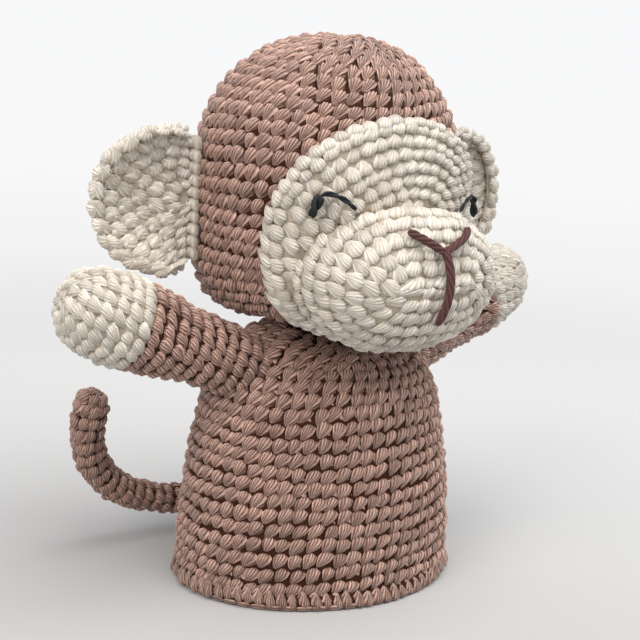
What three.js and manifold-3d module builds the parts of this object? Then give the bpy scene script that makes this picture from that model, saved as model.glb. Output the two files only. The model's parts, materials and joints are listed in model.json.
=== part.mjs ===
// A crocheted monkey hand puppet, built as it is sewn together: a bell-shaped body for the hand,
// a stuffed head with a finger sleeve, a face with a stuffed muzzle, cupped ears, two arms and a tail.
// Millimetres and degrees. It stands on its hem, +Z is up, and the face looks along -Y.
import * as THREE from "three";
import { mergeVertices } from "three/addons/utils/BufferGeometryUtils.js";
import Module from "manifold-3d";

const wasm = await Module();
wasm.setup();

// Fabric, yarn and fits
const fabric = 4.2; // thickness of the crocheted fabric
const seamYarn = 2.4; // sewing yarn round the neck, the shoulders and the face
const noseYarn = 2.6; // embroidery yarn of the nose and mouth
const eyeThread = 1.6; // embroidery thread of the eyes
const fit = 0.3; // gap between pieces that touch

// Body
const hemWidth = 121;
const hemDepth = 99;
const hemEdge = 5; // height of the slip-stitched edging
const hemRound = 1.2; // rounding of the edging's corners
const bodyHeight = 101; // top of the body, where the neck begins
const chestWidth = 106;
const chestDrop = 29; // the line of the chest width below the top of the body
const skirtRise = 34; // height up to which the skirt keeps the hem's width
const chestRise = 17; // length of the chest's curve below and above the chest line
const chestLean = 3.5; // how far that curve leans in
const crownWidth = 76; // width of the nearly flat top

// Neck
const neckBall = 16; // radius of the body's rounded neck, which the head turns on
const neckDrop = 0.5; // the neck's pivot below the top of the body
const neckOpening = 36; // width of the opening in the head
const neckSeamAngle = 70; // place of the seam, measured from straight up
const fingerHole = 21; // width of the way from the body into the head

// Head
const headWidth = 108;
const headTop = 62; // from the head's widest part to the crown
const headBottom = 50.5; // from the head's widest part to the underside
const headFront = 47; // from the middle of the neck to the front of the head
const headBack = 62; // from the middle of the neck to the back of the head
const crownFull = 2.25; // fullness above its widest part, where 2 is an egg
const jowlFull = 3.8; // fullness below its widest part
const sleeveWidth = 20; // inside of the finger sleeve
const sleeveWall = 2.8;
const flareGap = 1.2; // between the sleeve's flared mouth and the head's fabric
const sleeveDepth = 62; // from the neck's pivot to the closed top of the sleeve

// Face
const faceTilt = 13; // the middle of the face below straight ahead
const faceSide = 60; // angles from the middle of the face to its edges
const faceTop = 45;
const faceBottom = 51;
const muzzleWidth = 88;
const muzzleFront = 30; // from the muzzle's widest part forwards
const muzzleBack = 25; // from the muzzle's widest part back into the head
const muzzleHeight = 60;
const muzzleProud = 26; // how far the muzzle stands out before the head
const muzzleDrop = 28; // the muzzle's middle below the head's

// Eyes, as angles from straight ahead: out to the side, and up
const eyeOuter = [44, -5];
const eyeApex = [40, 3];
const eyeInner = [33, 2];
const eyeEnd = [27.5, -2];

// Nose and mouth, as angles on the muzzle: out to the side, and up
const noseTip = [2.5, 25];
const noseEnd = [24, 38];
const mouthTop = 20;
const mouthEnd = -32;

// Ears
const earReach = 40; // from the sewn edge to the outer rim
const earHeight = 54;
const earInset = 12; // the ear's middle from its sewn edge
const earCup = 11; // depth of the hollow
const earAngle = { right: 107, left: 102 }; // the sewn edge, measured round the head from the face
const earDrop = 4.5; // the ear's middle below the head's

// Arms
const shoulderDrop = 9; // the shoulder's pivot below the top of the body
const shoulderBall = 13.5; // radius of the rounded shoulder, which the arm turns on
const shoulderReach = 6.5; // the shoulder's pivot outside the body's wall
const shoulderSeamAngle = 70; // place of the seam, measured from the arm's axis
const armWidth = 31;
const wristWidth = 37.5;
const handWidth = 36;
const sleeveLength = 39.5; // from the shoulder's pivot to the hand
const armLength = 72.5; // from the shoulder's pivot to the tip of the hand
const handSwell = 15; // length over which the hand swells from the wrist
const pocketDepth = 48.5; // from the shoulder's pivot to the filling in the hand
const armRaise = { right: 21.5, left: 22 }; // above level
const armBack = 9; // behind straight sideways

// Tail
const tailHeight = 16; // the tail's base above the hem
const tailWidth = 11.5;
const tailKnob = 16;
const tailReach = new THREE.Vector3(-72, 2, 54); // from the base to the tip
const tailLeave = new THREE.Vector3(-34, 13, -8); // pull of the curve at the base
const tailCurl = new THREE.Vector3(-86, 8, 4); // pull of the curve before the tip

const brown = new THREE.MeshStandardMaterial({ color: 0xa57d76, roughness: 0.9, metalness: 0 });
const cream = new THREE.MeshStandardMaterial({ color: 0xe1d7c3, roughness: 0.9, metalness: 0 });
const maroon = new THREE.MeshStandardMaterial({ color: 0x5a3734, roughness: 0.85, metalness: 0 });
const black = new THREE.MeshStandardMaterial({ color: 0x23282a, roughness: 0.8, metalness: 0 });
const filling = new THREE.MeshStandardMaterial({ color: 0xf2f0ea, roughness: 1, metalness: 0 });

const radians = THREE.MathUtils.degToRad;
const up = new THREE.Vector3(0, 0, 1);
const back = new THREE.Vector3(0, 1, 0);
const weld = 1e-4; // points closer than this are one point
const roundSides = 32; // facets round the body and the head
const limbSides = 16; // facets round an arm
const yarnSides = 6; // facets round a yarn
const tailSides = 12; // facets round the tail
const tailSteps = 14; // steps along the tail
const tailArcSteps = 5; // steps round the tail's base and its knob
const earSides = 24; // facets round an ear
const earRings = 8; // rings of facets across an ear
const outlineSteps = 7; // steps along each curve of an outline
const borderSteps = 48; // steps along the chain round the face
const strokeSteps = 10; // steps along an embroidered stroke

// A closed geometry as a solid, turned outside out where its profile ran the other way.
function solidOf(geometry) {
  const bare = geometry.index ? geometry.toNonIndexed() : geometry.clone();
  bare.deleteAttribute("normal");
  bare.deleteAttribute("uv");
  const merged = mergeVertices(bare, weld);
  const corners = merged.index.array;
  const triangles = [];
  for (let i = 0; i < corners.length; i += 3) {
    const [a, b, c] = corners.slice(i, i + 3);
    if (a !== b && b !== c && c !== a) triangles.push(a, b, c);
  }
  const build = (order) =>
    new wasm.Manifold(
      new wasm.Mesh({
        numProp: 3,
        vertProperties: merged.attributes.position.array,
        triVerts: new Uint32Array(order),
      }),
    );
  const solid = build(triangles);
  return solid.volume() > 0 ? solid : build(triangles.reverse());
}

// A solid as a named mesh.
function piece(name, solid, material) {
  const { vertProperties, triVerts } = solid.getMesh();
  const geometry = new THREE.BufferGeometry();
  geometry.setAttribute("position", new THREE.BufferAttribute(vertProperties, 3));
  geometry.setIndex(new THREE.BufferAttribute(triVerts, 1));
  geometry.computeVertexNormals();
  const mesh = new THREE.Mesh(geometry, material);
  mesh.name = name;
  return mesh;
}

// Moves every point of a geometry to where the rule puts it.
function reshaped(geometry, rule) {
  const places = geometry.attributes.position;
  const point = new THREE.Vector3();
  for (let i = 0; i < places.count; i += 1) {
    point.fromBufferAttribute(places, i);
    const moved = rule(point);
    places.setXYZ(i, moved.x, moved.y, moved.z);
  }
  return geometry;
}

// A profile of (radius, height) points turned round the Z axis.
function turned(points, sides) {
  return new THREE.LatheGeometry(points, sides).rotateX(Math.PI / 2);
}

// An egg with its middle at the given place.
function egg(halfX, halfY, halfZ, middle, sides = roundSides) {
  const geometry = new THREE.SphereGeometry(1, sides, sides / 2).rotateX(Math.PI / 2);
  return geometry.scale(halfX, halfY, halfZ).translate(middle.x, middle.y, middle.z);
}

function ball(radius, middle, sides = limbSides) {
  return solidOf(egg(radius, radius, radius, middle, sides));
}

// A profile moved inwards by a wall's thickness; its last point stays on the axis.
function inset(points, wall) {
  return points.map((point, i) => {
    if (i === points.length - 1) return new THREE.Vector2(0, point.y - wall);
    const before = points[Math.max(i - 1, 0)];
    const along = new THREE.Vector2().subVectors(points[i + 1], before).normalize();
    return new THREE.Vector2(point.x - along.y * wall, point.y + along.x * wall);
  });
}

// A stroke of embroidery yarn through a row of points.
function yarnThrough(points, width) {
  const section = new THREE.Shape();
  section.absarc(0, 0, width / 2, 0, Math.PI * 2);
  const extrudePath = new THREE.CatmullRomCurve3(points);
  const settings = { steps: strokeSteps, extrudePath, curveSegments: yarnSides };
  return solidOf(new THREE.ExtrudeGeometry(section, settings));
}

// A ring of sewing yarn lying on a ball, at an angle from the ball's Z axis.
function seamRing(ballRadius, angle, height, sides) {
  const middle = ballRadius + fit + seamYarn / 2;
  const ring = new THREE.TorusGeometry(
    middle * Math.sin(radians(angle)),
    seamYarn / 2,
    yarnSides,
    sides,
  );
  return solidOf(ring.translate(0, 0, height + middle * Math.cos(radians(angle))));
}

// Outside of a ball with its sewing yarn: the fabric that turns on the ball begins there.
function cupOver(ballRadius) {
  return ballRadius + fit + seamYarn + fit;
}

// Body: half of its outline, from the hem to the top
const hemTop = hemEdge + fit;
const depthRatio = hemDepth / hemWidth;
const chestHeight = bodyHeight - chestDrop;
const bodyPath = new THREE.Path();
bodyPath.moveTo(hemWidth / 2, hemTop);
bodyPath.bezierCurveTo(
  hemWidth / 2,
  skirtRise,
  chestWidth / 2 + chestLean,
  chestHeight - chestRise,
  chestWidth / 2,
  chestHeight,
);
bodyPath.bezierCurveTo(
  chestWidth / 2 - chestLean,
  chestHeight + chestRise,
  crownWidth / 2,
  bodyHeight,
  0,
  bodyHeight,
);
const bodyOutline = bodyPath.getPoints(outlineSteps);

// Half the body's width at a height.
function bodyHalfWidth(height) {
  const above = bodyOutline.findIndex((point) => point.y >= height);
  const low = bodyOutline[above - 1];
  const high = bodyOutline[above];
  return THREE.MathUtils.mapLinear(height, low.y, high.y, low.x, high.x);
}

// A bell of the body's shape, closed below at a given height.
function bell(outline, bottom) {
  const start = [new THREE.Vector2(0, bottom), new THREE.Vector2(outline[0].x, bottom)];
  const steps = outline[0].y > bottom ? outline : outline.slice(1);
  return solidOf(turned([...start, ...steps], roundSides).scale(1, depthRatio, 1));
}

const neckPivot = new THREE.Vector3(0, 0, bodyHeight - neckDrop);

const sides = { right: -1, left: 1 };

// Arms: the shoulder's pivot and the arm's direction on one side
function shoulderPivot(name) {
  const height = bodyHeight - shoulderDrop;
  return new THREE.Vector3(sides[name] * (bodyHalfWidth(height) + shoulderReach), 0, height);
}

function armDirection(name) {
  const rise = radians(armRaise[name]);
  const level = Math.cos(rise);
  const out = sides[name] * level * Math.cos(radians(armBack));
  return new THREE.Vector3(out, level * Math.sin(radians(armBack)), Math.sin(rise));
}

function armFrame(name) {
  const group = new THREE.Group();
  group.position.copy(shoulderPivot(name));
  group.quaternion.setFromUnitVectors(up, armDirection(name));
  return group;
}

// A round way for a finger through a ball, along the Z axis of a frame at the ball's middle.
function fingerWay(radius, ballRadius, frame) {
  const length = 2 * (ballRadius + fit);
  const way = new THREE.CylinderGeometry(radius, radius, length, limbSides).rotateX(Math.PI / 2);
  frame.updateMatrix();
  return solidOf(way.applyMatrix4(frame.matrix));
}

const puppet = new THREE.Group();

// The body's shell: bell, neck and shoulders in one fabric, hollow, with ways for three fingers
const neckFrame = new THREE.Group();
neckFrame.position.copy(neckPivot);
let bodyOuter = bell(bodyOutline, hemTop).add(ball(neckBall, neckPivot));
let bodyInner = bell(inset(bodyOutline, fabric), 0)
  .add(ball(neckBall - fabric, neckPivot))
  .add(fingerWay(fingerHole / 2, neckBall, neckFrame));
for (const name of Object.keys(sides)) {
  bodyOuter = bodyOuter.add(ball(shoulderBall, shoulderPivot(name)));
  bodyInner = bodyInner.add(fingerWay(shoulderBall - fabric, shoulderBall, armFrame(name)));
}
puppet.add(piece("body_shell", bodyOuter.subtract(bodyInner), brown));

// The hem: a flat-footed ring of slip stitches
const hemOut = hemWidth / 2;
const hemIn = hemOut - fabric;
const hemProfile = [
  [hemIn, 0],
  [hemOut - hemRound, 0],
  [hemOut, hemRound],
  [hemOut, hemEdge - hemRound],
  [hemOut - hemRound, hemEdge],
  [hemIn, hemEdge],
  [hemIn, 0],
].map(([radius, height]) => new THREE.Vector2(radius, height));
const hemRing = turned(hemProfile, roundSides).scale(1, depthRatio, 1);
puppet.add(piece("hem_edging", solidOf(hemRing), brown));

puppet.add(piece("neck_seam", seamRing(neckBall, neckSeamAngle, neckPivot.z, roundSides), brown));

// Head: everything in it is placed from the head's middle
const headHalf = headWidth / 2;
const neckCup = cupOver(neckBall);
const openingRise = Math.sqrt(neckCup ** 2 - (neckOpening / 2) ** 2);
const openingFall = headBottom * (1 - (neckOpening / headWidth) ** jowlFull) ** (1 / jowlFull);
const head = new THREE.Group();
head.position.set(0, 0, neckPivot.z + openingRise + openingFall);
puppet.add(head);
const neckInHead = neckPivot.clone().sub(head.position);
const middle = new THREE.Vector3();

// From the head's middle to its outside: a full egg, deeper behind, with its widest part low.
function headRadius(direction) {
  const depth = direction.y > 0 ? headBack : headFront;
  const [height, full] = direction.z < 0 ? [headBottom, jowlFull] : [headTop, crownFull];
  const level = Math.hypot(direction.x / headHalf, direction.y / depth);
  return (level ** full + Math.abs(direction.z / height) ** full) ** (-1 / full);
}

function headForm(grow) {
  const form = new THREE.SphereGeometry(1, roundSides, roundSides / 2).rotateX(Math.PI / 2);
  return solidOf(reshaped(form, (point) => point.setLength(headRadius(point) + grow)));
}

const neckHollow = ball(neckCup, neckInHead, roundSides);
head.add(piece("head_shell", headForm(0).subtract(headForm(-fabric)).subtract(neckHollow), brown));

// The finger sleeve: a closed tube whose mouth flares over the neck
const sleeveIn = sleeveWidth / 2;
const sleeveOut = sleeveIn + sleeveWall;
const flareOut = neckOpening / 2 - fabric - flareGap;
const onNeck = (radius, over) =>
  new THREE.Vector2(radius, neckInHead.z + Math.sqrt((neckCup + over) ** 2 - radius ** 2));
const sleeveTop = neckInHead.z + sleeveDepth;
const sleeveProfile = [
  new THREE.Vector2(0, sleeveTop),
  new THREE.Vector2(sleeveIn, sleeveTop),
  onNeck(sleeveIn, fit),
  onNeck(flareOut, fit),
  onNeck(flareOut, fit + sleeveWall),
  onNeck(sleeveOut, fit + sleeveWall),
  new THREE.Vector2(sleeveOut, sleeveTop + sleeveWall),
  new THREE.Vector2(0, sleeveTop + sleeveWall),
];
head.add(piece("finger_sleeve", solidOf(turned(sleeveProfile, limbSides)), brown));

// The head's filling, round the sleeve
const sleeveSpace = new THREE.CylinderGeometry(
  sleeveOut + fit,
  sleeveOut + fit,
  sleeveDepth + sleeveWall + fit,
  limbSides,
);
sleeveSpace.rotateX(Math.PI / 2);
sleeveSpace.translate(0, 0, neckInHead.z + (sleeveDepth + sleeveWall + fit) / 2);
const headFilling = headForm(-fabric - fit)
  .subtract(ball(neckCup + sleeveWall + 2 * fit, neckInHead, roundSides))
  .subtract(solidOf(sleeveSpace));
head.add(piece("head_stuffing", headFilling, filling));

// Face: a direction seen from the head's middle, by the angle from the middle of the face and round it
const faceAhead = new THREE.Vector3(0, -Math.cos(radians(faceTilt)), -Math.sin(radians(faceTilt)));
const faceUp = new THREE.Vector3(0, -Math.sin(radians(faceTilt)), Math.cos(radians(faceTilt)));

function faceDirection(away, round) {
  return faceAhead
    .clone()
    .multiplyScalar(Math.cos(away))
    .addScaledVector(faceUp, Math.sin(away) * Math.sin(round))
    .add(new THREE.Vector3(Math.sin(away) * Math.cos(round), 0, 0));
}

// The face's outline is an oval, taller below its middle than above it.
function faceEdge(round) {
  const rise = radians(Math.sin(round) > 0 ? faceTop : faceBottom);
  return 1 / Math.hypot(Math.cos(round) / radians(faceSide), Math.sin(round) / rise);
}

// A layer over the face: its outside follows the head, its inside lies deep in the head.
function faceLayer(thickness) {
  const layer = new THREE.SphereGeometry(1, roundSides, roundSides / 2);
  return reshaped(layer, (point) => {
    const round = Math.atan2(point.z, point.x);
    const outside = point.y >= -weld;
    const away = 1 - Math.abs(Math.asin(THREE.MathUtils.clamp(point.y, -1, 1))) / (Math.PI / 2);
    const direction = faceDirection(away * faceEdge(round), round);
    const reach = headRadius(direction);
    return direction.multiplyScalar(outside ? reach + thickness : reach / 2);
  });
}

const muzzleMiddle = new THREE.Vector3(0, -(headFront + muzzleProud - muzzleFront), -muzzleDrop);

// The muzzle: an egg in front of its middle, and fuller at the sides behind it, where it meets the face.
function muzzleEgg(grow) {
  const form = new THREE.SphereGeometry(1, roundSides, roundSides / 2).rotateX(Math.PI / 2);
  return solidOf(
    reshaped(form, (point) => {
      const behind = THREE.MathUtils.clamp(point.y, 0, 1);
      const round = Math.sqrt(1 - behind ** 2);
      const fuller = round > weld ? Math.cbrt(1 - behind ** 3) / round : 1;
      const depth = behind > 0 ? muzzleBack : muzzleFront;
      return new THREE.Vector3(
        (muzzleWidth / 2 + grow) * point.x * fuller,
        (depth + grow) * point.y,
        (muzzleHeight / 2 + grow) * point.z,
      ).add(muzzleMiddle);
    }),
  );
}

const headRoom = headForm(fit);
const facePatch = solidOf(faceLayer(fit + fabric))
  .add(muzzleEgg(0))
  .subtract(headRoom)
  .subtract(muzzleEgg(-fabric));
head.add(piece("face_patch", facePatch, cream));
head.add(piece("muzzle_stuffing", muzzleEgg(-fabric - fit).subtract(headRoom), filling));

// The chain round the face lies on the head, just outside the face's edge
const border = new THREE.TorusGeometry(1, seamYarn / 2 / headHalf, yarnSides, borderSteps);
reshaped(border, (point) => {
  const round = Math.atan2(point.y, point.x);
  const sideways = Math.hypot(point.x, point.y) - 1;
  const outward = (seamYarn / 2 + 2 * fit) / headHalf;
  const direction = faceDirection(faceEdge(round) + outward + sideways, round);
  return direction.multiplyScalar(headRadius(direction) + 2 * fit + seamYarn / 2 + point.z * headHalf);
});
head.add(piece("face_border", solidOf(border), cream));

// Eyes, nose and mouth: an arched stitch on each side, and three strokes on the muzzle
function onFace(side, [aside, rise]) {
  const level = Math.cos(radians(rise));
  const direction = new THREE.Vector3(
    side * level * Math.sin(radians(aside)),
    -level * Math.cos(radians(aside)),
    Math.sin(radians(rise)),
  );
  return direction.multiplyScalar(headRadius(direction) + fabric + 2 * fit + eyeThread / 2);
}

// A point on the muzzle, lifted by half a yarn.
function onMuzzle(side, [aside, rise], width) {
  const level = Math.cos(radians(rise));
  const lift = fit + width / 2;
  return new THREE.Vector3(
    (muzzleWidth / 2 + lift) * side * level * Math.sin(radians(aside)),
    -(muzzleFront + lift) * level * Math.cos(radians(aside)),
    (muzzleHeight / 2 + lift) * Math.sin(radians(rise)),
  ).add(muzzleMiddle);
}

for (const [name, side] of Object.entries(sides)) {
  const arch = [eyeOuter, eyeApex, eyeInner, eyeEnd].map((place) => onFace(side, place));
  head.add(piece(name + "_eye", yarnThrough(arch, eyeThread), black));
  const half = [noseTip[0] + noseEnd[0], noseTip[1] + noseEnd[1]].map((sum) => sum / 2);
  const stroke = [noseTip, half, noseEnd].map((place) => onMuzzle(side, place, noseYarn));
  head.add(piece("nose_" + name, yarnThrough(stroke, noseYarn), maroon));
}

const mouthLine = [];
for (let i = 0; i <= strokeSteps; i += 1) {
  const rise = THREE.MathUtils.lerp(mouthTop, mouthEnd, i / strokeSteps);
  mouthLine.push(onMuzzle(0, [0, rise], noseYarn));
}
head.add(piece("mouth", yarnThrough(mouthLine, noseYarn), maroon));

// Ears: a cup with a straight, rounded edge that is sewn to the head. Its own frame has X outwards,
// Z along the sewn edge, and -Y to the hollow side; the edge's middle is at its origin.
const earHalfReach = earReach - earInset;
const earDisc = reshaped(new THREE.SphereGeometry(1, earSides, earRings), (point) => {
  const out = Math.min(point.x ** 2 + point.z ** 2, 1);
  const across = Math.sign(point.y) * Math.sqrt(Math.abs(point.y)) * (fabric / 2);
  const x = earInset + earHalfReach * point.x;
  const hollow = earCup * out * THREE.MathUtils.smoothstep(x, 0, earInset);
  return new THREE.Vector3(x, across - hollow, (earHeight / 2) * point.z);
});
const behindEdge = new THREE.BoxGeometry(earReach, earReach * 2, earHeight * 2);
behindEdge.translate(-earReach / 2, 0, 0);
const earEdge = earHeight * Math.sqrt(1 - (earInset / earHalfReach) ** 2) - fabric;
const roundEdge = new THREE.CylinderGeometry(fabric / 2, fabric / 2, earEdge, limbSides);
const ear = solidOf(earDisc).subtract(solidOf(behindEdge)).add(solidOf(roundEdge.rotateX(Math.PI / 2)));

for (const [name, side] of Object.entries(sides)) {
  const group = new THREE.Group();
  const round = radians(earAngle[name]);
  const outward = new THREE.Vector3(side * Math.sin(round), -Math.cos(round), 0);
  group.position.copy(outward).multiplyScalar(headRadius(outward) + fit + fabric / 2);
  group.position.z = -earDrop;
  group.rotation.order = "ZYX";
  group.rotation.set(0, side > 0 ? 0 : Math.PI, side * (round - Math.PI / 2));
  group.add(piece(name + "_ear", ear, cream));
  head.add(group);
}

// Arms: sleeve and hand are one outline, parted at the wrist. Z runs from the pivot to the tip.
const armCup = cupOver(shoulderBall);
const handStart = sleeveLength + fit;
const sleevePoints = [
  new THREE.Vector2(armWidth / 2, 0),
  new THREE.Vector2(armWidth / 2, armCup),
  new THREE.Vector2(wristWidth / 2, sleeveLength),
];
const handPath = new THREE.Path();
handPath.moveTo(wristWidth / 2, handStart);
handPath.bezierCurveTo(
  handWidth / 2 + fabric / 2,
  handStart + handSwell,
  handWidth / 2,
  armLength,
  0,
  armLength,
);
const handPoints = handPath.getPoints(outlineSteps);
const axisPoint = (height) => new THREE.Vector2(0, height);

function limb(points, bottom) {
  const foot = [axisPoint(bottom), new THREE.Vector2(points[0].x, bottom)];
  return solidOf(turned([...foot, ...points.slice(1)], limbSides));
}

const sleeveShell = limb([...sleevePoints, axisPoint(sleeveLength)], 0)
  .subtract(
    limb(
      [
        new THREE.Vector2(armWidth / 2 - fabric, 0),
        new THREE.Vector2(armWidth / 2 - fabric, armCup),
        new THREE.Vector2(wristWidth / 2 - fabric, sleeveLength + fit),
        axisPoint(sleeveLength + fit),
      ],
      -fit,
    ),
  )
  .subtract(ball(armCup, middle, roundSides));
const handShell = limb(handPoints, handStart).subtract(limb(inset(handPoints, fabric), handStart - fit));
const handFilling = limb(inset(handPoints, fabric + fit), pocketDepth);

for (const name of Object.keys(sides)) {
  const group = armFrame(name);
  const seam = seamRing(shoulderBall, shoulderSeamAngle, 0, limbSides);
  group.add(piece(name + "_shoulder_seam", seam, brown));
  group.add(piece(name + "_arm", sleeveShell, brown));
  group.add(piece(name + "_hand", handShell, cream));
  group.add(piece(name + "_hand_stuffing", handFilling, filling));
  puppet.add(group);
}

// Tail: a round limb with a knob at its tip, bent along a curve. Its round base turns on the back's middle.
const tailBase = new THREE.Vector3(
  0,
  bodyHalfWidth(tailHeight) * depthRatio + tailWidth / 2 + fit,
  tailHeight,
);
const tailStart = tailLeave.clone().setLength(-tailWidth / 2);
const tailCurve = new THREE.CubicBezierCurve3(tailStart, tailLeave, tailCurl, tailReach);
const tailLength = tailCurve.getLength();
const knobHalf = tailKnob / 2;
const tailProfile = new THREE.Path();
tailProfile.absarc(0, tailWidth / 2, tailWidth / 2, -Math.PI / 2, 0);
for (let i = 1; i < tailSteps; i += 1) {
  const run = THREE.MathUtils.lerp(tailWidth / 2, tailLength - tailKnob, i / tailSteps);
  tailProfile.lineTo(tailWidth / 2, run);
}
tailProfile.absarc(0, tailLength - knobHalf, knobHalf, -Math.acos(tailWidth / tailKnob), Math.PI / 2);
const tailRound = new THREE.LatheGeometry(tailProfile.getPoints(tailArcSteps), tailSides);
const tail = reshaped(tailRound, (point) => {
  const share = THREE.MathUtils.clamp(point.y / tailLength, 0, 1);
  const along = tailCurve.getTangentAt(share);
  const across = new THREE.Vector3().crossVectors(along, back).normalize();
  const third = new THREE.Vector3().crossVectors(across, along);
  return tailCurve.getPointAt(share).addScaledVector(across, point.x).addScaledVector(third, point.z);
});
const tailPiece = piece("tail", solidOf(tail), brown);
tailPiece.position.copy(tailBase);
puppet.add(tailPiece);

// The origin is the middle of the footprint: the puppet's box is centred on it from side to side too
puppet.updateMatrixWorld(true);
const boxMiddle = new THREE.Box3().setFromObject(puppet).getCenter(new THREE.Vector3());
puppet.position.set(-boxMiddle.x, -boxMiddle.y, 0);

export default puppet;
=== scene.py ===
# A crocheted monkey hand puppet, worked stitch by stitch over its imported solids. Metres, +Z up.
import bpy
import bmesh
import json
import random
from bisect import bisect, bisect_left
from math import atan2, cos, hypot, pi, radians, sin, sqrt
from mathutils import Matrix, Vector
from mathutils.geometry import interpolate_bezier


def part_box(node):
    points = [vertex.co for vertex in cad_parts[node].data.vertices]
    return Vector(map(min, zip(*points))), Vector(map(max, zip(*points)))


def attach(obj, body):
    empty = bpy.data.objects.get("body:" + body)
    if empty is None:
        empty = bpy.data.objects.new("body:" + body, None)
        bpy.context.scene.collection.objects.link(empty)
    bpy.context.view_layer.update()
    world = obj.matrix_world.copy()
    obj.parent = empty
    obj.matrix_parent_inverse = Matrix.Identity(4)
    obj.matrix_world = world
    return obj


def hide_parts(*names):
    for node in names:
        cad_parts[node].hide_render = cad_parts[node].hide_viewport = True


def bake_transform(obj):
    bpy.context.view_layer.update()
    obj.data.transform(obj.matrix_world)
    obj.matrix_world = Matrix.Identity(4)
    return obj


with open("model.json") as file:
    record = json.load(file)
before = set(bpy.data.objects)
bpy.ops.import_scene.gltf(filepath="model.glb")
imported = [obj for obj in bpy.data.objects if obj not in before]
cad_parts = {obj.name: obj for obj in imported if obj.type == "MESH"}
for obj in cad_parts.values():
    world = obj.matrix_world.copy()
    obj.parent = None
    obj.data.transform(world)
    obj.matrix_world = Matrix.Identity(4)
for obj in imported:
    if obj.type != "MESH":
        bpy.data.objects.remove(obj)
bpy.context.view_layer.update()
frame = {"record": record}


# Camera and table. The puppet stands on a white table in soft light from above and from the right,
# and is seen from its right front, a little from above.
scene = bpy.context.scene
scene.view_settings.view_transform = "Standard"
look_at = Vector((-0.006, -0.0016, 0.105))
camera_distance = 0.56
camera_turn, camera_rise, camera_roll = radians(-37), radians(11), radians(3)
straight_up = Vector((0, 0, 1))
toward_camera = Vector((sin(camera_turn), -cos(camera_turn), 0))
camera_back = toward_camera * cos(camera_rise) + straight_up * sin(camera_rise)
level = Vector((cos(camera_turn), sin(camera_turn), 0))
upright = camera_back.cross(level)
camera_side = level * cos(camera_roll) + upright * sin(camera_roll)
camera_top = upright * cos(camera_roll) - level * sin(camera_roll)
camera_data = bpy.data.cameras.new("camera")
camera_data.lens = 79.3
camera_data.sensor_width = 36
camera_data.clip_start = 0.01
camera = bpy.data.objects.new("camera", camera_data)
camera.matrix_world = Matrix.Translation(look_at + camera_distance * camera_back) @ Matrix(
    (camera_side, camera_top, camera_back)).transposed().to_4x4()
scene.collection.objects.link(camera)
scene.camera = camera

table_radius = 6
sheet = bmesh.new()
bmesh.ops.create_circle(sheet, cap_ends=True, segments=96, radius=table_radius)
table_mesh = bpy.data.meshes.new("table")
sheet.to_mesh(table_mesh)
sheet.free()
table = bpy.data.objects.new("table", table_mesh)
scene.collection.objects.link(table)


def new_material(name, roughness, specular):
    """A material, its node tree and its shader."""
    material = bpy.data.materials.new(name)
    material.use_nodes = True
    shader = material.node_tree.nodes["Principled BSDF"]
    shader.inputs["Roughness"].default_value = roughness
    shader.inputs["Specular IOR Level"].default_value = specular
    return material, material.node_tree, shader


def joined(tree, operation, a, b):
    """One value worked out from two."""
    node = tree.nodes.new("ShaderNodeMath")
    node.operation = operation
    tree.links.new(a, node.inputs[0])
    tree.links.new(b, node.inputs[1])
    return node.outputs["Value"]


def mapped(tree, value, start, end, low=0.0, high=1.0, curve="SMOOTHSTEP"):
    """A value that goes from low to high while another goes from start to end."""
    node = tree.nodes.new("ShaderNodeMapRange")
    node.interpolation_type = curve
    node.inputs["From Min"].default_value = start
    node.inputs["From Max"].default_value = end
    node.inputs["To Min"].default_value = low
    node.inputs["To Max"].default_value = high
    tree.links.new(value, node.inputs["Value"])
    return node.outputs["Result"]


def seen_directly(tree):
    """1 for what the camera sees, also in or through a shiny surface, and 0 for light on the puppet."""
    ray = tree.nodes.new("ShaderNodeLightPath")
    mirrored = joined(tree, "MAXIMUM", ray.outputs["Is Camera Ray"], ray.outputs["Is Glossy Ray"])
    return joined(tree, "MAXIMUM", mirrored, ray.outputs["Is Transmission Ray"])


def cross_fade(tree, share, first, second, output):
    """Goes from one shader to another, into the tree's output."""
    both = tree.nodes.new("ShaderNodeMixShader")
    tree.links.new(share, both.inputs["Fac"])
    tree.links.new(first, both.inputs[1])
    tree.links.new(second, both.inputs[2])
    tree.links.new(both.outputs["Shader"], tree.nodes[output].inputs["Surface"])


paper, tree, shader = new_material("white paper", 0.9, 0.1)
place = tree.nodes.new("ShaderNodeTexCoord")
facing = tree.nodes.new("ShaderNodeMapping")
facing.inputs["Rotation"].default_value = (0, 0, -camera_turn)
behind = tree.nodes.new("ShaderNodeSeparateXYZ")
around = tree.nodes.new("ShaderNodeVectorMath")
around.operation = "LENGTH"
tree.links.new(place.outputs["Object"], facing.inputs["Vector"])
tree.links.new(facing.outputs["Vector"], behind.inputs["Vector"])
tree.links.new(place.outputs["Object"], around.inputs[0])
# The paper's grey is painted shade: darker towards the front and a little to the left, lighter behind.
painted_shade_in_front = mapped(tree, behind.outputs["Y"], -0.25, 0.4, 0.4, 0.68)
painted_shade_at_left = mapped(tree, behind.outputs["X"], -0.15, 0.15, 0.06, 0.08)
tree.links.new(joined(tree, "ADD", painted_shade_in_front, painted_shade_at_left), shader.inputs["Base Color"])
white = tree.nodes.new("ShaderNodeEmission")
tree.links.new(mapped(tree, around.outputs["Value"], 0.2, 2, 0.87, 0.94), white.inputs["Color"])
far = joined(tree, "MULTIPLY", mapped(tree, around.outputs["Value"], 0.15, 0.9), seen_directly(tree))
cross_fade(tree, far, shader.outputs["BSDF"], white.outputs["Emission"], "Material Output")
table_mesh.materials.append(paper)

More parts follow.
